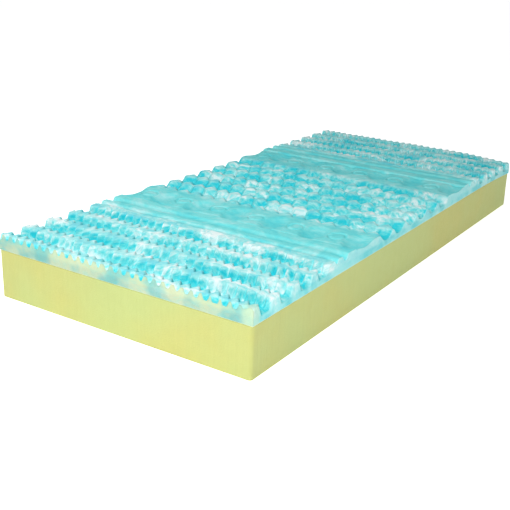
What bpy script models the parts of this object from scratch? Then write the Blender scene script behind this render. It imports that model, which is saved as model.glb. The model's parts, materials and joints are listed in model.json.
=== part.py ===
"""Pressure relief mattress core in its own frame: +X across, +Y towards the head end, +Z up.

The origin is at the centre of the underside. A flat foam base carries a contour-cut gel foam
topper, glued on with a thin film. Both foams are cut at the three fold lines of a profiling bed,
and each section turns about its fold line: back and thigh about the top edge, calf about the
bottom edge, so that no section presses into the next.
"""

import math

import bmesh
import bpy

INCH = 0.0254
WIDTH = 36 * INCH
LENGTH = 80 * INCH
BASE_HEIGHT = 6 * INCH
TOTAL_HEIGHT = 8 * INCH
CORNER_RADIUS = 0.009
CORNER_STEPS = 4
TOUCH_GAP = 0.0003
FILM_THICKNESS = 0.0008
FILM_INSET = 0.004

# Both cut zones are rows of pits between level crests. Shares of the cut's depth that go to
# the pits themselves, the valley along a row of pits and the furrow along a column of them.
PIT_SHARE = 0.62
VALLEY_SHARE = 0.24
FURROW_SHARE = 0.14

# Fine zone, at each end: small pits, close together across and far apart along.
FINE_COLUMNS = 30
FINE_ROW = 0.100
FINE_ROWS = 4
FIRST_PIT = 0.060
FIRST_CREST = 0.026
FINE_DEPTH = 0.025

# Centre zone: broader pits.
CENTRE_COLUMNS = 17
CENTRE_ROW = 0.0955
CENTRE_ROWS = 6
CENTRE_DEPTH = 0.029

# Pad zone, between them: two cross grooves, then a row of flat pads with hollows between them.
PAD_PITCH = 0.150
PAD_START = 0.058
PAD_SAMPLES = 36
HOLLOW_DEPTH = 0.017

# Distance past the fine zone, depth of the cross groove and share of the hollow's depth.
PAD_ROWS = (
    (0.026, 0.004, 0.0),
    (0.050, 0.000, 0.0),
    (0.084, 0.005, 0.0),
    (0.106, 0.000, 0.0),
    (0.144, 0.001, 0.0),
    (0.158, 0.004, 0.5),
    (0.215, 0.003, 1.0),
    (0.272, 0.003, 0.5),
    (0.298, 0.001, 0.0),
)

HALF_LENGTH = LENGTH / 2
HALF_WIDTH = WIDTH / 2
FINE_LENGTH = FIRST_PIT + FINE_ROW * (FINE_ROWS - 0.5)
CENTRE_HALF = CENTRE_ROW * CENTRE_ROWS / 2

# Fold lines, each along a crest of the centre zone.
BACK_FOLD = CENTRE_ROW * 2
THIGH_FOLD = 0.0
CALF_FOLD = -CENTRE_HALF

# Name, lower end, upper end and the fold point (y, z) that the section turns about.
SECTIONS = (
    ("calf", -HALF_LENGTH, CALF_FOLD, (CALF_FOLD, 0.0)),
    ("thigh", CALF_FOLD, THIGH_FOLD, (THIGH_FOLD, TOTAL_HEIGHT)),
    ("seat", THIGH_FOLD, BACK_FOLD, (0.0, 0.0)),
    ("back", BACK_FOLD, HALF_LENGTH, (BACK_FOLD, TOTAL_HEIGHT)),
)

FOAM_YELLOW = (0.68, 0.72, 0.30, 1.0)
GEL_BLUE = (0.16, 0.68, 0.74, 1.0)
GLUE_CLEAR = (0.78, 0.76, 0.62, 1.0)


def clear_scene():
    for item in list(bpy.data.objects):
        bpy.data.objects.remove(item, do_unlink=True)


def make_material(name, colour, roughness):
    material = bpy.data.materials.new(name)
    material.use_nodes = True
    shader = material.node_tree.nodes["Principled BSDF"]
    shader.inputs["Base Color"].default_value = colour
    shader.inputs["Roughness"].default_value = roughness
    shader.inputs["Metallic"].default_value = 0.0
    return material


def add_object(name, mesh_builder, material, pivot):
    """Makes an object from a bmesh and puts its origin on the section's fold line."""
    bmesh.ops.recalc_face_normals(mesh_builder, faces=mesh_builder.faces)
    bmesh.ops.translate(mesh_builder, vec=(0.0, -pivot[0], -pivot[1]), verts=mesh_builder.verts)
    mesh = bpy.data.meshes.new(name)
    mesh_builder.to_mesh(mesh)
    mesh_builder.free()
    mesh.materials.append(material)
    item = bpy.data.objects.new(name, mesh)
    item.location = (0.0, pivot[0], pivot[1])
    bpy.context.scene.collection.objects.link(item)
    return item


def evenly(start, end, count):
    """Count + 1 values from start to end."""
    return [start + (end - start) * i / count for i in range(count + 1)]


def gap_ends(low, high):
    """A section's ends, pulled in by half the gap where it meets a neighbour."""
    low_end = low if low <= -HALF_LENGTH else low + TOUCH_GAP / 2
    high_end = high if high >= HALF_LENGTH else high - TOUCH_GAP / 2
    return low_end, high_end


def slab(low, high, bottom, top, inset, radius):
    """A flat block with its outer upright corners rounded, and its fold faces left square."""
    low_end, high_end = gap_ends(low, high)
    side = HALF_WIDTH - inset
    outline = []
    for y, outer, turn in ((low_end, low <= -HALF_LENGTH, -1), (high_end, high >= HALF_LENGTH, 1)):
        edge = y - turn * inset if outer else y
        corner = []
        if outer and radius > 0:
            for angle in evenly(0.0, math.pi / 2, CORNER_STEPS):
                x = side - radius + radius * math.cos(angle)
                corner.append((x, edge - turn * radius * (1 - math.sin(angle))))
        else:
            corner.append((side, edge))
        mirrored = [(-x, y_at) for x, y_at in reversed(corner)]
        run = corner + mirrored
        outline.extend(run if turn > 0 else reversed(run))
    builder = bmesh.new()
    face = builder.faces.new([builder.verts.new((x, y, bottom)) for x, y in outline])
    grown = bmesh.ops.extrude_face_region(builder, geom=[face])
    raised = [v for v in grown["geom"] if isinstance(v, bmesh.types.BMVert)]
    bmesh.ops.translate(builder, vec=(0.0, 0.0, top - bottom), verts=raised)
    return builder


def pit_row(columns, is_pit_row, depth):
    """Points (x, z) across one row; every second point is over a column of pits."""
    points = []
    for i, x in enumerate(evenly(-HALF_WIDTH, HALF_WIDTH, columns * 2)):
        in_column = i % 2 == 0
        share = FURROW_SHARE * in_column + VALLEY_SHARE * is_pit_row
        share += PIT_SHARE * (in_column and is_pit_row)
        points.append((x, TOTAL_HEIGHT - depth * share))
    return points


def pad_row(groove, hollow):
    """Points (x, z) across one row of the pad zone."""
    points = []
    for x in evenly(-HALF_WIDTH, HALF_WIDTH, PAD_SAMPLES):
        turn = 2 * math.pi * (x + HALF_WIDTH - PAD_START) / PAD_PITCH
        between_pads = max(0.0, -math.cos(turn))
        points.append((x, TOTAL_HEIGHT - groove - HOLLOW_DEPTH * hollow * between_pads))
    return points


def half_rows():
    """Rows of (y, [(x, z), ...]) from mid-length to the head end."""
    rows = []
    for step in range(CENTRE_ROWS + 1):
        rows.append((step * CENTRE_ROW / 2, pit_row(CENTRE_COLUMNS, step % 2 == 1, CENTRE_DEPTH)))
    for past_fine, groove, hollow in reversed(PAD_ROWS):
        rows.append((HALF_LENGTH - FINE_LENGTH - past_fine, pad_row(groove, hollow)))
    for step in range(FINE_ROWS * 2 - 1, -1, -1):
        from_end = FIRST_PIT + step * FINE_ROW / 2
        rows.append((HALF_LENGTH - from_end, pit_row(FINE_COLUMNS, step % 2 == 0, FINE_DEPTH)))
    rows.append((HALF_LENGTH - FIRST_CREST, pit_row(FINE_COLUMNS, False, FINE_DEPTH)))
    rows.append((HALF_LENGTH, pit_row(FINE_COLUMNS, True, FINE_DEPTH)))
    return rows


def all_rows():
    """The whole length, foot end first; the two halves mirror each other."""
    half = half_rows()
    mirrored = [(-y, points) for y, points in reversed(half[1:])]
    return mirrored + half


def join_even_rows(builder, near, far):
    """Splits each cell along its lower diagonal, so that every pit is four-sided."""
    for i in range(len(near) - 1):
        a, b, c, d = near[i], near[i + 1], far[i + 1], far[i]
        if a.co.z + c.co.z <= b.co.z + d.co.z:
            builder.faces.new((a, b, c))
            builder.faces.new((a, c, d))
        else:
            builder.faces.new((a, b, d))
            builder.faces.new((b, c, d))


def join_uneven_rows(builder, near, far):
    """Fills the strip between two rows that have different numbers of points."""
    i, j = 0, 0
    while i < len(near) - 1 or j < len(far) - 1:
        step_near = j == len(far) - 1 or (i < len(near) - 1 and near[i + 1].co.x <= far[j + 1].co.x)
        if step_near:
            builder.faces.new((near[i], near[i + 1], far[j]))
            i += 1
        else:
            builder.faces.new((near[i], far[j + 1], far[j]))
            j += 1


def topper_section(low, high, bottom):
    """One section of the topper: relief on top, flat sides, fold faces and underside."""
    low_end, high_end = gap_ends(low, high)
    builder = bmesh.new()
    grid = []
    for y, points in all_rows():
        if y < low - TOUCH_GAP or y > high + TOUCH_GAP:
            continue
        y_at = min(max(y, low_end), high_end)
        grid.append([builder.verts.new((x, y_at, z)) for x, z in points])
    for near, far in zip(grid, grid[1:]):
        join = join_even_rows if len(near) == len(far) else join_uneven_rows
        join(builder, near, far)
    corners = {}
    for sx in (-1, 1):
        for y_at in (low_end, high_end):
            corners[sx, y_at] = builder.verts.new((sx * HALF_WIDTH, y_at, bottom))
    left = [row[0] for row in grid]
    right = [row[-1] for row in grid]
    builder.faces.new([corners[-1, low_end], *left, corners[-1, high_end]])
    builder.faces.new([corners[1, high_end], *reversed(right), corners[1, low_end]])
    builder.faces.new([corners[1, low_end], *reversed(grid[0]), corners[-1, low_end]])
    builder.faces.new([corners[-1, high_end], *grid[-1], corners[1, high_end]])
    floor = [corners[-1, low_end], corners[-1, high_end], corners[1, high_end], corners[1, low_end]]
    builder.faces.new(floor)
    builder.normal_update()
    bmesh.ops.triangulate(builder, faces=[f for f in builder.faces if len(f.verts) > 4])
    return builder


def build():
    clear_scene()
    foam = make_material("base_foam", FOAM_YELLOW, 0.9)
    gel = make_material("gel_foam", GEL_BLUE, 0.75)
    glue = make_material("glue_film", GLUE_CLEAR, 0.45)
    film_bottom = BASE_HEIGHT + TOUCH_GAP
    film_top = film_bottom + FILM_THICKNESS
    for name, low, high, pivot in SECTIONS:
        base = slab(low, high, 0.0, BASE_HEIGHT, 0.0, CORNER_RADIUS)
        add_object(f"base_foam_{name}", base, foam, pivot)
        film = slab(low, high, film_bottom, film_top, FILM_INSET, 0.0)
        add_object(f"glue_film_{name}", film, glue, pivot)
        topper = topper_section(low, high, film_top + TOUCH_GAP)
        add_object(f"gel_topper_{name}", topper, gel, pivot)


build()
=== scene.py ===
"""Finishes the pressure relief mattress: base foam, glue film and the contour-cut gel foam topper."""
import json
import math

import bmesh
import bpy
from bpy.props import FloatProperty, FloatVectorProperty, IntProperty, PointerProperty
from mathutils import Matrix, Vector, noise


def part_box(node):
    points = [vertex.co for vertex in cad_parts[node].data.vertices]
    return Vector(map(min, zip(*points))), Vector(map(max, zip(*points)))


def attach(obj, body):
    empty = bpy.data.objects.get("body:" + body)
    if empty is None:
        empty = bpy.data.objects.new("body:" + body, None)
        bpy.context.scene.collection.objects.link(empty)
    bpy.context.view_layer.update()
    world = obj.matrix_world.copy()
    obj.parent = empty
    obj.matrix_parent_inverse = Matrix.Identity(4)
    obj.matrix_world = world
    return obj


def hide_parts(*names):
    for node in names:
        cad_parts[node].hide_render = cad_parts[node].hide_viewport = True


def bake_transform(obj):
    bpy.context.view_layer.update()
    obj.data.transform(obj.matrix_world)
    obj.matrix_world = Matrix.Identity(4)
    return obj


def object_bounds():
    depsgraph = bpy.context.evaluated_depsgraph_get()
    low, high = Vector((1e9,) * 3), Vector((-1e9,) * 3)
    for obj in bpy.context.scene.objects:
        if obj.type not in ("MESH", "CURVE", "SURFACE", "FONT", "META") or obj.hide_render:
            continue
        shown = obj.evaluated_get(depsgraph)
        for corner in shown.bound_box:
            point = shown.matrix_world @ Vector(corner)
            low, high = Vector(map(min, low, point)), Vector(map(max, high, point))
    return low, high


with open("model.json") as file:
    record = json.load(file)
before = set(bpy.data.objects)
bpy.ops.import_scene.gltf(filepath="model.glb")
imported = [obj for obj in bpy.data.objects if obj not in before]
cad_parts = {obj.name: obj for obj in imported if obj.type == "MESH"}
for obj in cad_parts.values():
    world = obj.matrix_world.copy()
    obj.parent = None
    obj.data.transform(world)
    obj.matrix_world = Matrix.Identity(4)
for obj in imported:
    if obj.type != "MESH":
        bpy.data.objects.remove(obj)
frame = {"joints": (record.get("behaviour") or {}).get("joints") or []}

bl_info = {
    "name": "Pressure Relief Mattress",
    "version": (1, 0, 0),
    "blender": (4, 5, 0),
    "location": "3D View > Sidebar > Mattress",
    "description": "Builds a zoned gel foam mattress core around its packed frame",
    "category": "Object",
}

CAD_BOX = [list(corner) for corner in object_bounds()]

SECTIONS = ("calf", "thigh", "seat", "back")
JOINTS = {joint["name"]: joint for joint in frame["joints"]}
FOLD_JOINT = {"calf": "calf_bend", "thigh": "thigh_raise", "back": "back_raise"}

HALF_WIDTH = CAD_BOX[1][0]
HALF_LENGTH = CAD_BOX[1][1]
TOP_HEIGHT = CAD_BOX[1][2]
BASE_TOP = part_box("base_foam_seat")[1][2]
TOPPER_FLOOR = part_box("gel_topper_seat")[0][2]
BACK_FOLD = JOINTS["back_raise"]["pos_m"][1]
THIGH_FOLD = JOINTS["thigh_raise"]["pos_m"][1]
CALF_FOLD = JOINTS["calf_bend"]["pos_m"][1]
SECTION_ENDS = {
    "calf": (-HALF_LENGTH, CALF_FOLD),
    "thigh": (CALF_FOLD, THIGH_FOLD),
    "seat": (THIGH_FOLD, BACK_FOLD),
    "back": (BACK_FOLD, HALF_LENGTH),
}

# The name of the attribute that keeps where each point lies when the mattress is flat.
REST_PLACE = "rest_place"


class FoamCut(bpy.types.PropertyGroup):
    """Sizes of the contour cut."""

    fine_columns: IntProperty(
        name="Fine Columns", description="Pits across the fine zones", default=30)
    fine_row: FloatProperty(
        name="Fine Row", description="Distance along the length between rows of fine pits",
        default=0.100, unit="LENGTH")
    first_pit: FloatProperty(
        name="First Pit", description="Distance of the first row of pits from the end of the foam",
        default=0.060, unit="LENGTH")
    fine_rows: IntProperty(
        name="Fine Rows", description="Whole rows of pits in each fine zone", default=4)
    fine_depth: FloatProperty(
        name="Fine Depth", description="Depth of the fine cut", default=0.028, unit="LENGTH")
    centre_columns: IntProperty(
        name="Centre Columns", description="Pits across the centre zone", default=17)
    centre_row: FloatProperty(
        name="Centre Row", description="Distance between rows of pits in the centre zone",
        default=0.0955, unit="LENGTH")
    centre_rows: IntProperty(
        name="Centre Rows", description="Rows of pits in the centre zone", default=6)
    centre_depth: FloatProperty(
        name="Centre Depth", description="Depth of the centre cut", default=0.031, unit="LENGTH")
    pad_pitch: FloatProperty(
        name="Pad Pitch", description="Distance across between flat pads",
        default=0.150, unit="LENGTH")
    hollow_depth: FloatProperty(
        name="Hollow Depth", description="Depth of the hollows between pads",
        default=0.011, unit="LENGTH")
    seed: IntProperty(
        name="Seed", description="Picks the unevenness of the cut", default=4)


class FoamColours(bpy.types.PropertyGroup):
    """Colours of the foams and the glue."""

    base: FloatVectorProperty(
        name="Base Foam", description="Body colour of the base foam", subtype="COLOR",
        size=4, min=0.0, max=1.0, default=(0.50, 0.53, 0.185, 1.0))
    deep_gel: FloatVectorProperty(
        name="Deep Swirl", description="Darkest gel colour", subtype="COLOR",
        size=4, min=0.0, max=1.0, default=(0.01, 0.58, 0.67, 1.0))
    gel: FloatVectorProperty(
        name="Gel", description="Main gel colour", subtype="COLOR",
        size=4, min=0.0, max=1.0, default=(0.17, 0.71, 0.71, 1.0))
    white_gel: FloatVectorProperty(
        name="White Swirl", description="Palest swirl colour", subtype="COLOR",
        size=4, min=0.0, max=1.0, default=(0.80, 0.89, 0.88, 1.0))
    glue: FloatVectorProperty(
        name="Glue", description="Colour of the glue film", subtype="COLOR",
        size=4, min=0.0, max=1.0, default=(0.60, 0.66, 0.38, 1.0))


class StudioLook(bpy.types.PropertyGroup):
    """Camera and light of the stage."""

    lens: FloatProperty(
        name="Lens", description="Focal length in millimetres", default=60.85)
    key_power: FloatProperty(
        name="Key Light", description="Power of the key light in watts", default=58.0)
    top_power: FloatProperty(
        name="Top Light", description="Power of the top light in watts", default=36.0)
    dome: FloatProperty(
        name="Dome Light", description="Strength of the light from all round", default=0.37)
    floor_glow: FloatProperty(
        name="Floor Glow", description="Light given by the lit white floor", default=0.66)


class Wire:
    """An output socket that can be used in a Python sum; each operator adds a Math node."""

    def __init__(self, bench, socket):
        self.bench = bench
        self.socket = socket

    def maths(self, operation, *others):
        return self.bench.node("ShaderNodeMath", {"operation": operation}, (self, *others))

    def __add__(self, other):
        return self.maths("ADD", other)

    __radd__ = __add__

    def __mul__(self, other):
        return self.maths("MULTIPLY", other)

    __rmul__ = __mul__

    def __sub__(self, other):
        return self.maths("SUBTRACT", other)

    def __rsub__(self, other):
        return self.bench.node("ShaderNodeMath", {"operation": "SUBTRACT"}, (other, self))

    def __truediv__(self, other):
        return self.maths("DIVIDE", other)

    def __pow__(self, other):
        return self.maths("POWER", other)

    def __gt__(self, other):
        return self.maths("GREATER_THAN", other)

    def __abs__(self):
        return self.maths("ABSOLUTE")

    def cos(self):
        return self.maths("COSINE")

    def top(self, other):
        return self.maths("MAXIMUM", other)

    def low(self, other):
        return self.maths("MINIMUM", other)

    def ease(self, start, end):
        """0 before start, 1 after end and smooth between them."""
        settings = {"interpolation_type": "SMOOTHSTEP"}
        return self.bench.node("ShaderNodeMapRange", settings, (self, start, end, 0.0, 1.0))


class Bench:
    """Adds nodes to one tree."""

    def __init__(self, tree):
        self.tree = tree

    def node(self, kind, settings=None, inputs=(), output=0):
        """Adds a node, sets it up, then fills its sockets by order or by name."""
        made = self.tree.nodes.new(kind)
        for key, value in (settings or {}).items():
            if key == "stops":
                self.set_stops(made.color_ramp, value)
            else:
                setattr(made, key, value)
        pairs = inputs.items() if isinstance(inputs, dict) else enumerate(inputs)
        for key, value in pairs:
            if value is None:
                continue
            if isinstance(value, Wire):
                self.tree.links.new(value.socket, made.inputs[key])
            else:
                made.inputs[key].default_value = value
        return Wire(self, made.outputs[output]) if made.outputs else made

    @staticmethod
    def set_stops(ramp, stops):
        while len(ramp.elements) > 1:
            ramp.elements.remove(ramp.elements[-1])
        ramp.elements[0].position, ramp.elements[0].color = stops[0]
        for position, colour in stops[1:]:
            ramp.elements.new(position).color = colour

    def split(self, vector):
        made = self.node("ShaderNodeSeparateXYZ", inputs=(vector,))
        return [Wire(self, socket) for socket in made.socket.node.outputs]

    def join(self, x, y, z):
        return self.node("ShaderNodeCombineXYZ", inputs=(x, y, z))

    def vector(self, operation, *values):
        return self.node("ShaderNodeVectorMath", {"operation": operation}, values)

    def mix(self, share, first, second):
        """Mixes two colours."""
        settings = {"data_type": "RGBA"}
        inputs = {"Factor": share, 6: first, 7: second}
        return self.node("ShaderNodeMix", settings, inputs, output=2)

    def noise(self, place, scale, detail=2.0, roughness=0.5, output=0):
        inputs = {"Vector": place, "Scale": scale, "Detail": detail, "Roughness": roughness}
        return self.node("ShaderNodeTexNoise", {"noise_dimensions": "3D"}, inputs, output)


# Materials


def new_material(name):
    """A material with one Principled shader; gives the material, its bench and the shader."""
    material = bpy.data.materials.new(name)
    material.use_nodes = True
    shader = material.node_tree.nodes["Principled BSDF"]
    return material, Bench(material.node_tree), shader


def plug(bench, wire, shader, socket):
    bench.tree.links.new(wire.socket, shader.inputs[socket])


def rest_place(bench):
    """Where a point lies in the flat mattress, so that a pattern bends with the foam."""
    return bench.node("ShaderNodeAttribute", {"attribute_name": REST_PLACE}, output=1)


def bump(bench, height, distance, normal=None):
    inputs = {"Strength": 1.0, "Distance": distance, "Height": height, "Normal": normal}
    return bench.node("ShaderNodeBump", inputs=inputs)


def cell_pores(bench, place, scale):
    """Open cells of cut foam: small pits of uneven size, whose centres the materials also darken as
    painted shade.
    """
    settings = {"feature": "F1", "distance": "EUCLIDEAN"}
    inputs = {"Vector": place, "Scale": scale, "Randomness": 1.0}
    return bench.node("ShaderNodeTexVoronoi", settings, inputs).ease(0.05, 0.55)


def base_foam_material(colours):
    """Sawn base foam: faint clouds of colour, upright saw marks and open cells."""
    material, bench, shader = new_material("base_foam_finish")
    place = rest_place(bench)
    x, y, z = bench.split(place)
    clouds = bench.noise(place, 3.2, 3.0).ease(0.30, 0.72)
    mottle = bench.noise(place, 38.0, 4.0).ease(0.25, 0.75)
    body = tuple(colours.base)
    warm = (body[0] * 1.04, body[1] * 0.96, body[2] * 0.86, 1.0)
    fresh = (body[0] * 0.95, body[1] * 1.02, body[2] * 1.06, 1.0)
    tone = bench.mix(clouds, warm, fresh)
    saw = bench.noise(bench.join(x * 80.0, y * 80.0, z * 2.5), 1.0, 3.0)
    streaks = saw.ease(0.3, 0.8) * 0.08
    dull = (body[0] * 0.72, body[1] * 0.74, body[2] * 0.70, 1.0)
    speckled = bench.mix(mottle * 0.08 + streaks, tone, dull)
    pores = cell_pores(bench, place, 620.0)
    # Painted shade: the pit of each open cell is darkened.
    colour = bench.mix((1 - pores) * 0.16, speckled, (0.36, 0.38, 0.12, 1.0))
    plug(bench, colour, shader, "Base Color")
    plug(bench, mottle * 0.08 + 0.80, shader, "Roughness")
    surface = bump(bench, bench.noise(place, 260.0, 4.0, 0.6), 0.0006, bump(bench, saw, 0.0012))
    plug(bench, bump(bench, pores, 0.0005, surface), shader, "Normal")
    shader.inputs["Specular IOR Level"].default_value = 0.25
    shader.inputs["Sheen Weight"].default_value = 0.12
    return material


def glue_material(colours):
    """Dried glue with pale streaks."""
    material, bench, shader = new_material("glue_film_finish")
    place = rest_place(bench)
    streaks = bench.noise(place, 120.0, 3.0)
    body = tuple(colours.glue)
    pale = (min(1.0, body[0] * 1.3), min(1.0, body[1] * 1.25), min(1.0, body[2] * 1.4), 1.0)
    plug(bench, bench.mix(streaks.ease(0.35, 0.7), body, pale), shader, "Base Color")
    plug(bench, streaks * 0.2 + 0.35, shader, "Roughness")
    plug(bench, bump(bench, streaks, 0.0004), shader, "Normal")
    return material


def uncut_corner(x, y):
    """1 over the corner block that the cutter leaves whole."""
    at_side = x.ease(HALF_WIDTH - 0.045, HALF_WIDTH - 0.025)
    return at_side * (1 - y.ease(0.022 - HALF_LENGTH, 0.042 - HALF_LENGTH))


def folded_place(bench, place):
    """The place that a bit of foam was stirred from: three folds, each finer than the last."""
    for scale, reach in ((3.0, 0.16), (8.0, 0.07), (21.0, 0.020)):
        drift = bench.vector("SUBTRACT", bench.noise(place, scale, 1.0, output=1), (0.5, 0.5, 0.5))
        place = bench.vector("ADD", place, bench.vector("MULTIPLY", drift, (reach, reach, reach)))
    return place


def marbling_with_painted_light(bench, colours, y, z, swirl, veins):
    """Marbling colour, with a painted highlight on the crests and painted shade deeper in the cut; the
    pads are calmer.
    """
    calm = abs(y).ease(0.26, 0.32) * (1 - abs(y).ease(0.54, 0.62))
    at_ends = abs(y).ease(0.56, 0.66)
    amount = (swirl * 0.72 + veins * 0.50 - 0.61) * (1 - calm * 0.72) + at_ends * 0.026 + 0.474
    gel, white = tuple(colours.gel), tuple(colours.white_gel)
    light = tuple(g * 0.6 + w * 0.4 for g, w in zip(gel, white))
    stops = ((0.38, tuple(colours.deep_gel)), (0.47, gel), (0.55, light), (0.62, white))
    colour = bench.node("ShaderNodeValToRGB", {"stops": stops}, (amount,))
    # Painted shade: the lower the cut lies, the more it turns deep cyan, standing in for shade and cyan
    # bounce light in the pits.
    painted_pit_shade = (1 - z / TOP_HEIGHT).ease(0.005, 0.08)
    painted_pit_shade_share = painted_pit_shade * (swirl.ease(0.35, 0.62) * -0.26 + 0.42)
    colour = bench.mix(painted_pit_shade_share, colour, (0.02, 0.56, 0.63, 1.0))
    # Painted highlight: the top 11 mm of the relief is mixed towards pale cyan-white, except where the
    # marbling is calm.
    crest = z.ease(TOP_HEIGHT - 0.011, TOP_HEIGHT - 0.002) * (1 - calm)
    return bench.mix(crest * 0.22, colour, (0.76, 0.90, 0.90, 1.0))


def on_cut_faces(bench, colour, white, place, veins):
    """Lays the colours of the outer faces over the top's: cyan at the sides, and at the ends a mint tint
    that is painted bounce light from the yellow base foam.
    """
    x, y, z = bench.split(place)
    patches = bench.noise(place, 14.0, 2.0).ease(0.38, 0.62)
    at_fingers = z.ease(TOP_HEIGHT - 0.034, TOP_HEIGHT - 0.020)
    on_side = abs(x).ease(HALF_WIDTH - 0.004, HALF_WIDTH - 0.001)
    strip = bench.mix(patches, (0.13, 0.60, 0.64, 1.0), (0.34, 0.74, 0.74, 1.0))
    side = bench.mix(at_fingers, strip, bench.mix(0.35, colour, white))
    colour = bench.mix(on_side * 0.80, colour, side)
    # Painted bounce light: the end faces get a mint, yellow-green tint standing in for the light thrown
    # up by the yellow base foam.
    on_end = abs(y).ease(HALF_LENGTH - 0.004, HALF_LENGTH - 0.001)
    strip = bench.mix(patches, (0.17, 0.40, 0.36, 1.0), (0.46, 0.52, 0.33, 1.0))
    fingers = bench.mix(patches, (0.22, 0.47, 0.40, 1.0), (0.52, 0.58, 0.34, 1.0))
    painted_end_bounce_share = on_end * (veins.ease(0.35, 0.6) * 0.15 + 0.78)
    colour = bench.mix(painted_end_bounce_share, colour, bench.mix(at_fingers, strip, fingers))
    return bench.mix(uncut_corner(x, y) * 0.55, colour, (0.46, 0.66, 0.46, 1.0))


def gel_foam_material(colours):
    """Gel foam poured in swirls: two foams folded into each other before they set."""
    material, bench, shader = new_material("gel_foam_finish")
    place = rest_place(bench)
    y, z = bench.split(place)[1:3]
    folded = folded_place(bench, place)
    swirl = bench.noise(bench.vector("MULTIPLY", folded, (1.0, 1.7, 1.8)), 9.0, 3.0, 0.6)
    veins = bench.noise(bench.vector("MULTIPLY", folded, (1.0, 1.4, 2.0)), 42.0, 3.0, 0.6)
    colour = marbling_with_painted_light(bench, colours, y, z, swirl, veins)
    colour = on_cut_faces(bench, colour, tuple(colours.white_gel), place, veins)
    pores = cell_pores(bench, place, 480.0)
    # Painted shade: the pit of each open cell is darkened to deep teal.
    colour = bench.mix((1 - pores) * 0.14, colour, (0.02, 0.36, 0.42, 1.0))
    plug(bench, colour, shader, "Base Color")
    plug(bench, veins * 0.15 + 0.52, shader, "Roughness")
    grain = bump(bench, bench.noise(place, 190.0, 4.0, 0.6), 0.0010)
    plug(bench, bump(bench, pores, 0.0006, grain), shader, "Normal")
    shader.inputs["Specular IOR Level"].default_value = 0.35
    return material


# Meshes


# Lengths of a face of the base and of the glue film, along and across the mattress.
STEP_ALONG = 0.02
STEP_ACROSS = 0.05


def steps(start, end, size):
    """Even places from start to end, about size apart."""
    count = max(1, round((end - start) / size))
    return [start + (end - start) * i / count for i in range(count + 1)]


SLUMP_DEPTH = 0.016
SLUMP_LENGTH = 0.42
SLUMP_WIDTH = 0.34


def slump(mesh):
    """Lets the foam sink towards the far right corner, where it is soft."""
    for vertex in mesh.vertices:
        x, y, z = vertex.co
        along = min(1.0, max(0.0, (y - HALF_LENGTH + SLUMP_LENGTH) / SLUMP_LENGTH))
        across = min(1.0, max(0.0, (x - HALF_WIDTH + SLUMP_WIDTH) / SLUMP_WIDTH))
        vertex.co.z = z - SLUMP_DEPTH * (along ** 2) * (across ** 2) * (z / TOP_HEIGHT)


def keep_rest_place(mesh):
    """Keeps where each point lies in the flat mattress."""
    kept = mesh.attributes.new(REST_PLACE, "FLOAT_VECTOR", "POINT")
    for i, vertex in enumerate(mesh.vertices):
        kept.data[i].vector = vertex.co


def finish_piece(name, mesh, material, replaced, section):
    """Makes the object and hides the part it replaces; only the seat piece is set to ride on its
    section.
    """
    mesh.name = name
    if not mesh.materials:
        mesh.materials.append(material)
    item = bpy.data.objects.new(name, mesh)
    bpy.context.scene.collection.objects.link(item)
    body = f"{section}_section"
    if section in FOLD_JOINT:
        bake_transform(item)
    else:
        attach(item, body)
    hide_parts(replaced)
    return item


def mark_crisp_edges(builder, crisp):
    """Shades a bmesh smooth and leaves sharp the edges that crisp picks."""
    for face in builder.faces:
        face.smooth = True
    for edge in builder.edges:
        if crisp(edge):
            edge.smooth = False


def cut_block(builder, axis, places):
    """Cuts a bmesh across one axis at each place."""
    normal = Vector((0.0, 0.0, 0.0))
    normal[axis] = 1.0
    for place in places:
        everything = builder.verts[:] + builder.edges[:] + builder.faces[:]
        bmesh.ops.bisect_plane(builder, geom=everything, plane_co=normal * place, plane_no=normal)


CORNER_ROUND = 0.011
ARRIS_ROUND = 0.0025
SAW_WANDER = 0.0016
CLOSE = 1e-5


def on_outer_end(vertex):
    return abs(vertex.co.y) > HALF_LENGTH - CLOSE


def rise(edge):
    return abs(edge.verts[0].co.z - edge.verts[1].co.z)


def round_corners(builder):
    """Rounds the upright corners at the mattress's ends, then softens the level edges outside."""
    upright = [e for e in builder.edges if all(on_outer_end(v) for v in e.verts) and rise(e) > 0.1]
    if upright:
        bmesh.ops.bevel(builder, geom=upright, offset=CORNER_ROUND, segments=8, affect="EDGES",
                        profile=0.5)
    arrises = [e for e in builder.edges
               if rise(e) < 1e-6
               and (all(on_outer_end(v) for v in e.verts)
                    or all(abs(v.co.x) > HALF_WIDTH - 0.012 for v in e.verts))
               and any(len(f.verts) == 4 and abs(f.normal.z) < 0.5 for f in e.link_faces)
               and any(abs(f.normal.z) > 0.5 for f in e.link_faces)]
    bmesh.ops.bevel(builder, geom=arrises, offset=ARRIS_ROUND, segments=4, affect="EDGES",
                    profile=0.5)


def wander_faces(builder, low, high):
    """Moves the outer faces in and out a little, as the saw wandered."""
    builder.normal_update()
    for vertex in builder.verts:
        x, y, z = vertex.co
        if z <= 0.001 or not (abs(x) > HALF_WIDTH - 0.003 or on_outer_end(vertex)):
            continue
        outwards = Vector((vertex.normal.x, vertex.normal.y, 0.0))
        if not on_outer_end(vertex) and min(y - low, high - y) < CLOSE:
            outwards = Vector((math.copysign(1.0, x), 0.0, 0.0))
        wave = noise.noise(Vector((x * 3.0, y * 2.2, z * 7.0)))
        vertex.co += outwards * (wave - 0.4) * SAW_WANDER


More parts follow.
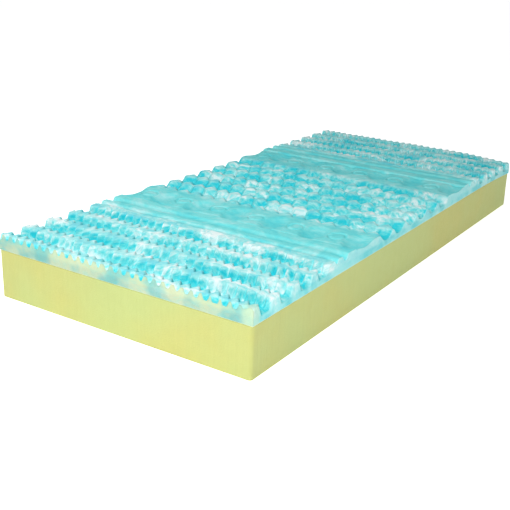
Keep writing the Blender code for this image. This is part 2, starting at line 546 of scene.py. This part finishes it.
def base_block(low, high):
    """One section of the base: a sawn block with rounded upright corners and softened arrises."""
    builder = bmesh.new()
    bmesh.ops.create_cube(builder, size=1.0)
    middle = Matrix.Translation((0.0, (low + high) / 2, BASE_TOP / 2))
    size = Matrix.Diagonal((2 * HALF_WIDTH, high - low, BASE_TOP)).to_4x4()
    bmesh.ops.transform(builder, matrix=middle @ size, verts=builder.verts)
    round_corners(builder)
    cut_block(builder, 1, steps(low, high, STEP_ALONG)[1:-1])
    cut_block(builder, 0, steps(-HALF_WIDTH, HALF_WIDTH, STEP_ACROSS)[1:-1])
    cut_block(builder, 2, [0.004, 0.03, 0.06, 0.09, 0.12, BASE_TOP - 0.004])
    for side in (-1, 1):
        cut_block(builder, 0, [side * (HALF_WIDTH - 0.004), side * (HALF_WIDTH - 0.013)])
        if abs(side * HALF_LENGTH - (low if side < 0 else high)) < 1e-6:
            cut_block(builder, 1, [side * (HALF_LENGTH - 0.004), side * (HALF_LENGTH - 0.013)])
    wander_faces(builder, low, high)
    mark_crisp_edges(builder, lambda e: e.calc_face_angle(0.0) > 1.0)
    mesh = bpy.data.meshes.new("base_block")
    builder.to_mesh(mesh)
    builder.free()
    return mesh


def film_sheet(low, high):
    """The glue film: an uneven rolled sheet that nearly reaches the sides."""
    builder = bmesh.new()
    rows = []
    for y in steps(low, high, STEP_ALONG):
        end_inset = 0.0012 if abs(y) > HALF_LENGTH - 1e-5 else 0.0
        y_at = y - math.copysign(end_inset, y)
        row = []
        for z in (BASE_TOP - 0.0002, TOPPER_FLOOR + 0.0002):
            for x in steps(-HALF_WIDTH, HALF_WIDTH, STEP_ACROSS):
                ragged = 0.0006 + 0.0005 * noise.noise(Vector((x * 9.0, y * 31.0, 2.0)))
                reach = HALF_WIDTH - ragged
                row.append(builder.verts.new((max(-reach, min(reach, x)), y_at, z)))
        rows.append(row)
    count = len(rows[0]) // 2
    for near, far in zip(rows, rows[1:]):
        for i in range(count - 1):
            builder.faces.new((near[i], far[i], far[i + 1], near[i + 1]))
            builder.faces.new((near[count + i], near[count + i + 1], far[count + i + 1], far[count + i]))
        builder.faces.new((near[0], near[count], far[count], far[0]))
        builder.faces.new((near[count - 1], far[count - 1], far[-1], near[-1]))
    builder.faces.new(rows[0][:count] + rows[0][count:][::-1])
    builder.faces.new(rows[-1][:count][::-1] + rows[-1][count:])
    bmesh.ops.recalc_face_normals(builder, faces=builder.faces)
    mark_crisp_edges(builder, lambda e: e.calc_face_angle(0.0) > math.radians(40))
    mesh = bpy.data.meshes.new("film_sheet")
    builder.to_mesh(mesh)
    builder.free()
    return mesh


SAMPLES_PER_COLUMN = 12
ROW_SPACING = 0.0036


def uncut_sheet(low, high, columns):
    """One section of the topper before the cut: a dense top over plain sides and underside."""
    builder = bmesh.new()
    across = [-HALF_WIDTH + 2 * HALF_WIDTH * i / columns for i in range(columns + 1)]
    top_rows, floor_rows = [], []
    for y in steps(low, high, ROW_SPACING):
        top_rows.append([builder.verts.new((x, y, TOP_HEIGHT)) for x in across])
        floor_rows.append([builder.verts.new((x, y, TOPPER_FLOOR)) for x in (-HALF_WIDTH, HALF_WIDTH)])
    for near, far in zip(top_rows, top_rows[1:]):
        for i in range(columns):
            builder.faces.new((near[i], near[i + 1], far[i + 1], far[i]))
    for i in range(len(top_rows) - 1):
        near, far, top_near, top_far = floor_rows[i], floor_rows[i + 1], top_rows[i], top_rows[i + 1]
        builder.faces.new((near[0], far[0], far[1], near[1]))
        builder.faces.new((near[0], top_near[0], top_far[0], far[0]))
        builder.faces.new((near[1], far[1], top_far[-1], top_near[-1]))
    builder.faces.new((*floor_rows[0], *reversed(top_rows[0])))
    builder.faces.new((*reversed(floor_rows[-1]), *top_rows[-1]))
    builder.normal_update()
    mark_crisp_edges(builder, lambda e: e.calc_face_angle(0.0) > 1.0)
    mesh = bpy.data.meshes.new("uncut_sheet")
    builder.to_mesh(mesh)
    builder.free()
    return mesh


CUT_INPUTS = (
    ("Half Width", "NodeSocketFloat"),
    ("Half Length", "NodeSocketFloat"),
    ("Top Height", "NodeSocketFloat"),
    ("Fine Column", "NodeSocketFloat"),
    ("Fine Row", "NodeSocketFloat"),
    ("First Pit", "NodeSocketFloat"),
    ("Fine Length", "NodeSocketFloat"),
    ("Fine Depth", "NodeSocketFloat"),
    ("Centre Column", "NodeSocketFloat"),
    ("Centre Row", "NodeSocketFloat"),
    ("Centre Half", "NodeSocketFloat"),
    ("Centre Depth", "NodeSocketFloat"),
    ("Pad Pitch", "NodeSocketFloat"),
    ("Hollow Depth", "NodeSocketFloat"),
    ("Seed", "NodeSocketFloat"),
    ("Foam", "NodeSocketMaterial"),
)


def notches(distance, pitch):
    """How near the closest whole pitch is: 1 on it and 0 half-way between."""
    return 1 - distance.maths("PINGPONG", pitch / 2) / (pitch / 2)


def valley(from_row, half_width, slope):
    """1 on the floor of a valley and 0 on the crests beside it, with steep walls between."""
    return 1 - (from_row - half_width).ease(slope * -0.5, slope * 0.5)


# Distances from the left side to the first column of notches and to the middle of the first pad.
FIRST_COLUMN = 0.004
FIRST_PAD = 0.058

# Half the width of a valley, how much a notch adds to it, and the run of the walls' slope.
FINE_VALLEY = 0.014
FINE_NOTCH = 0.022
FINE_SLOPE = 0.016
CENTRE_VALLEY = 0.012
CENTRE_NOTCH = 0.024
CENTRE_SLOPE = 0.034

# Past the fine zone: the middle of the hollows and of the buttons, and half the length of each.
HOLLOW_MIDDLE = 0.205
HOLLOW_HALF = 0.078
BUTTON_MIDDLE = 0.220
BUTTON_HALF = 0.036

# How far the cutter strays across and along, and how unevenly the uncut skin lies.
STRAY_ACROSS = 0.008
STRAY_ALONG = 0.014
SKIN_WAVE = 0.003
SKIN_DROP = 0.0012


def groove(place, start, floor, floor_end, end, depth):
    """A groove that starts, reaches its floor, leaves it and ends at four places."""
    return place.ease(start, floor) * (1 - place.ease(floor_end, end)) * depth


def fine_cut(given, x, cut_x, from_end):
    """Narrow notched walls on both sides of each valley, and alcoves in the end face."""
    at_side = abs(x).ease(given["Half Width"] - 0.030, given["Half Width"])
    across = notches(cut_x - FIRST_COLUMN, given["Fine Column"])
    from_row = (1 - notches(from_end - given["First Pit"], given["Fine Row"])) * given["Fine Row"] / 2
    walls = valley(from_row, across * FINE_NOTCH + FINE_VALLEY, FINE_SLOPE)
    alcoves = valley(from_end, across * 0.018 - 0.006, 0.009) * 0.55
    share = (walls * 0.76 + walls * across * 0.16 + across * 0.08).top(alcoves)
    return share * given["Fine Depth"] * (at_side * 0.2 + 1)


def centre_cut(given, cut_x, from_middle):
    """Broad blunt peaks between wide notches."""
    across = notches(cut_x, given["Centre Column"])
    to_row = notches(given["Centre Half"] - from_middle + given["Centre Row"] / 2, given["Centre Row"])
    from_row = (1 - to_row) * given["Centre Row"] / 2
    walls = valley(from_row, across * CENTRE_NOTCH + CENTRE_VALLEY, CENTRE_SLOPE)
    share = walls * 0.52 + walls * across * 0.14 + across * 0.18 + to_row ** 2.0 * 0.16
    return share * given["Centre Depth"]


def pad_cut(given, x, cut_x, past_fine):
    """Two cross grooves, deeper at the sides, then pads with a ring each and hollows between."""
    at_side = abs(x).ease(given["Half Width"] - 0.05, given["Half Width"])
    grooves = groove(past_fine, 0.002, 0.020, 0.024, 0.036, 0.004)
    grooves = grooves + groove(past_fine, 0.054, 0.072, 0.080, 0.098, 0.005)
    step = groove(past_fine, 0.135, 0.140, 0.143, 0.148, 0.005)
    drop = past_fine.ease(0.135, 0.148) * 0.003
    pad_turn = ((cut_x - FIRST_PAD) * (2 * math.pi) / given["Pad Pitch"]).cos()
    lens = (1 - ((past_fine - HOLLOW_MIDDLE) / HOLLOW_HALF) ** 2.0).top(0.0)
    hollow = (lens * 1.6 - pad_turn - 1.0).ease(0.0, 1.5) * given["Hollow Depth"]
    from_button = (1 - pad_turn) * 1.15 + ((past_fine - BUTTON_MIDDLE) / BUTTON_HALF) ** 2.0
    ring = groove(from_button, 0.35, 0.60, 0.65, 0.95, 0.0050)
    return grooves * (at_side * 2.4 + 1) + step + drop + hollow + ring


def contour_cut_tree():
    """The contour cutter: lowers the top of a sheet to the zoned relief."""
    tree = bpy.data.node_groups.new("contour_cut", "GeometryNodeTree")
    tree.interface.new_socket("Geometry", in_out="INPUT", socket_type="NodeSocketGeometry")
    for name, kind in CUT_INPUTS:
        tree.interface.new_socket(name, in_out="INPUT", socket_type=kind)
    tree.interface.new_socket("Geometry", in_out="OUTPUT", socket_type="NodeSocketGeometry")
    bench = Bench(tree)
    entry = bench.node("NodeGroupInput").socket.node
    given = {socket.name: Wire(bench, socket) for socket in entry.outputs if socket.name}
    place = bench.node("GeometryNodeInputPosition")
    x, y, z = bench.split(place)
    on_top = z > given["Top Height"] - 0.001

    seeded = bench.vector("ADD", place, bench.join(given["Seed"], 0.0, 0.0))
    stray = bench.vector("SUBTRACT", bench.noise(seeded, 9.0, 2.0, output=1), (0.5, 0.5, 0.5))
    stray_x, stray_y, stray_z = bench.split(stray)
    cut_x = x + given["Half Width"] + stray_x * STRAY_ACROSS
    from_middle = abs(y + stray_y * STRAY_ALONG)
    from_end = given["Half Length"] - from_middle
    past_fine = from_end - given["Fine Length"]

    into_pads = past_fine.ease(-0.004, 0.008)
    into_centre = 1 - from_middle.ease(given["Centre Half"] - 0.004, given["Centre Half"] + 0.010)
    fine = fine_cut(given, x, cut_x, from_end) * (1 - into_pads)
    pads = pad_cut(given, x, cut_x, past_fine) * into_pads * (1 - into_centre)
    centre = centre_cut(given, cut_x, from_middle) * into_centre
    depth = (fine + pads + centre) * (1 - uncut_corner(x, y) * 0.6)
    uneven = bench.noise(seeded, 4.0, 2.0) * 0.5 + 0.75
    skin = stray_z * SKIN_WAVE + SKIN_DROP
    lowered = (z - on_top * (depth * uneven + skin)).low(given["Top Height"])

    cut = bench.node("GeometryNodeSetPosition", inputs={
        "Geometry": given["Geometry"], "Position": bench.join(x, y, lowered)})
    kept = bench.node("GeometryNodeStoreNamedAttribute", {"data_type": "FLOAT_VECTOR"}, {
        "Geometry": cut, "Name": REST_PLACE, "Value": place})
    plain = bench.node("GeometryNodeRealizeInstances", inputs=(kept,))
    foam = bench.node("GeometryNodeSetMaterial", inputs={"Geometry": plain, "Material": given["Foam"]})
    bench.node("NodeGroupOutput", inputs=(foam,))
    return tree


def carve(sheet, tree, values):
    """Runs the contour cutter on a sheet and gives the plain mesh it leaves."""
    blank = bpy.data.objects.new("uncut_sheet", sheet)
    bpy.context.scene.collection.objects.link(blank)
    cutter = blank.modifiers.new("contour_cut", "NODES")
    cutter.node_group = tree
    for socket in tree.interface.items_tree:
        if socket.in_out == "INPUT" and socket.name in values:
            cutter[socket.identifier] = values[socket.name]
    ready = blank.evaluated_get(bpy.context.evaluated_depsgraph_get())
    mesh = bpy.data.meshes.new_from_object(ready)
    blank.modifiers.remove(cutter)
    bpy.data.objects.remove(blank, do_unlink=True)
    bpy.data.meshes.remove(sheet)
    return mesh


# Operators


class MATTRESS_OT_base_foam(bpy.types.Operator):
    """Builds the base foam, one block for each section of the bed"""

    bl_idname = "mattress.base_foam"
    bl_label = "Base Foam"

    def execute(self, context):
        finish = base_foam_material(context.scene.mattress_colours)
        for section in SECTIONS:
            mesh = base_block(*SECTION_ENDS[section])
            keep_rest_place(mesh)
            slump(mesh)
            piece = finish_piece(f"base_block_{section}", mesh, finish,
                                 f"base_foam_{section}", section)
        return {"FINISHED"}


class MATTRESS_OT_glue_film(bpy.types.Operator):
    """Builds the glue film between the two foams"""

    bl_idname = "mattress.glue_film"
    bl_label = "Glue Film"

    def execute(self, context):
        finish = glue_material(context.scene.mattress_colours)
        for section in SECTIONS:
            mesh = film_sheet(*SECTION_ENDS[section])
            keep_rest_place(mesh)
            slump(mesh)
            finish_piece(f"glue_sheet_{section}", mesh, finish,
                         f"glue_film_{section}", section)
        return {"FINISHED"}


class MATTRESS_OT_gel_topper(bpy.types.Operator):
    """Builds the gel foam topper and cuts its comfort zones"""

    bl_idname = "mattress.gel_topper"
    bl_label = "Gel Foam Topper"

    def execute(self, context):
        cut = context.scene.mattress_cut
        finish = gel_foam_material(context.scene.mattress_colours)
        tree = contour_cut_tree()
        width = 2 * HALF_WIDTH
        values = {
            "Half Width": HALF_WIDTH,
            "Half Length": HALF_LENGTH,
            "Top Height": TOP_HEIGHT,
            "Fine Column": width / cut.fine_columns,
            "Fine Row": cut.fine_row,
            "First Pit": cut.first_pit,
            "Fine Length": cut.first_pit + cut.fine_row * (cut.fine_rows - 0.4),
            "Fine Depth": cut.fine_depth,
            "Centre Column": width / cut.centre_columns,
            "Centre Row": cut.centre_row,
            "Centre Half": cut.centre_row * cut.centre_rows / 2,
            "Centre Depth": cut.centre_depth,
            "Pad Pitch": cut.pad_pitch,
            "Hollow Depth": cut.hollow_depth,
            "Seed": float(cut.seed),
            "Foam": finish,
        }
        for section in SECTIONS:
            sheet = uncut_sheet(*SECTION_ENDS[section], cut.fine_columns * SAMPLES_PER_COLUMN)
            mesh = carve(sheet, tree, values)
            slump(mesh)
            piece = finish_piece(f"topper_sheet_{section}", mesh, finish,
                                 f"gel_topper_{section}", section)
        return {"FINISHED"}


# Where each lamp hangs, the point it is aimed at and its diameter.
KEY_LIGHT = ((1.4, -2.9, 2.1), (0.2, -0.8, 0.1), 0.9)
TOP_LIGHT = ((-0.6, -1.5, 2.6), (0.0, -0.5, 0.2), 1.4)

CAMERA_PLACE = (1.4992, -2.6613, 1.0548)
CAMERA_RIGHT = (0.8369, 0.5462, 0.0355)
CAMERA_UP = (-0.2155, 0.2692, 0.9387)


class MATTRESS_OT_studio(bpy.types.Operator):
    """Sets the pale floor, the soft lights and the camera"""

    bl_idname = "mattress.studio"
    bl_label = "Studio"

    def execute(self, context):
        scene = context.scene
        look = scene.mattress_studio
        self.add_floor(scene, look.floor_glow)
        self.add_dome(scene, look.dome)
        self.add_light(scene, "key_light", *KEY_LIGHT, look.key_power)
        self.add_light(scene, "top_light", *TOP_LIGHT, look.top_power)
        self.add_camera(scene, look.lens)
        scene.view_settings.view_transform = "Standard"
        return {"FINISHED"}

    @staticmethod
    def add_floor(scene, glow):
        mesh = bpy.data.meshes.new("studio_floor")
        builder = bmesh.new()
        bmesh.ops.create_circle(builder, cap_ends=True, radius=60.0, segments=64)
        builder.to_mesh(mesh)
        builder.free()
        material, bench, shader = new_material("studio_floor_paint")
        shader.inputs["Base Color"].default_value = (0.93, 0.93, 0.93, 1.0)
        shader.inputs["Roughness"].default_value = 0.9
        shader.inputs["Specular IOR Level"].default_value = 0.1
        shader.inputs["Emission Color"].default_value = (1.0, 1.0, 1.0, 1.0)
        shader.inputs["Emission Strength"].default_value = glow
        mesh.materials.append(material)
        floor = bpy.data.objects.new("studio_floor", mesh)
        floor.location.z = CAD_BOX[0][2] - 0.0005
        scene.collection.objects.link(floor)

    @staticmethod
    def add_dome(scene, strength):
        world = bpy.data.worlds.new("studio_dome")
        world.use_nodes = True
        background = world.node_tree.nodes["Background"]
        background.inputs["Color"].default_value = (1.0, 1.0, 1.0, 1.0)
        background.inputs["Strength"].default_value = strength
        scene.world = world

    @staticmethod
    def add_light(scene, name, place, aim, size, power):
        lamp = bpy.data.lights.new(name, "AREA")
        lamp.shape = "DISK"
        lamp.size = size
        lamp.energy = power
        item = bpy.data.objects.new(name, lamp)
        item.location = place
        item.rotation_euler = (Vector(aim) - Vector(place)).to_track_quat("-Z", "Y").to_euler()
        scene.collection.objects.link(item)

    @staticmethod
    def add_camera(scene, lens):
        camera = bpy.data.objects.new("studio_camera", bpy.data.cameras.new("studio_camera"))
        camera.data.lens = lens
        camera.data.sensor_width = 36.0
        right, up = Vector(CAMERA_RIGHT).normalized(), Vector(CAMERA_UP).normalized()
        back = right.cross(up).normalized()
        up = back.cross(right)
        turn = Matrix((right, up, back)).transposed().to_4x4()
        camera.matrix_world = Matrix.Translation(CAMERA_PLACE) @ turn
        scene.collection.objects.link(camera)
        scene.camera = camera


STEPS = ("base_foam", "glue_film", "gel_topper", "studio")


class MATTRESS_PT_builder(bpy.types.Panel):
    """Lists the steps that build the mattress"""

    bl_label = "Pressure Relief Mattress"
    bl_idname = "MATTRESS_PT_builder"
    bl_space_type = "VIEW_3D"
    bl_region_type = "UI"
    bl_category = "Mattress"

    def draw(self, context):
        scene = context.scene
        for group in (scene.mattress_cut, scene.mattress_colours, scene.mattress_studio):
            box = self.layout.box()
            for name in group.__annotations__:
                box.prop(group, name)
        for step in STEPS:
            self.layout.operator(f"mattress.{step}")


CLASSES = (
    FoamCut,
    FoamColours,
    StudioLook,
    MATTRESS_OT_base_foam,
    MATTRESS_OT_glue_film,
    MATTRESS_OT_gel_topper,
    MATTRESS_OT_studio,
    MATTRESS_PT_builder,
)


def register():
    for item in CLASSES:
        bpy.utils.register_class(item)
    bpy.types.Scene.mattress_cut = PointerProperty(type=FoamCut)
    bpy.types.Scene.mattress_colours = PointerProperty(type=FoamColours)
    bpy.types.Scene.mattress_studio = PointerProperty(type=StudioLook)


def unregister():
    del bpy.types.Scene.mattress_studio
    del bpy.types.Scene.mattress_colours
    del bpy.types.Scene.mattress_cut
    for item in reversed(CLASSES):
        bpy.utils.unregister_class(item)


def main():
    register()
    for step in STEPS:
        getattr(bpy.ops.mattress, step)()


if __name__ == "__main__":
    main()
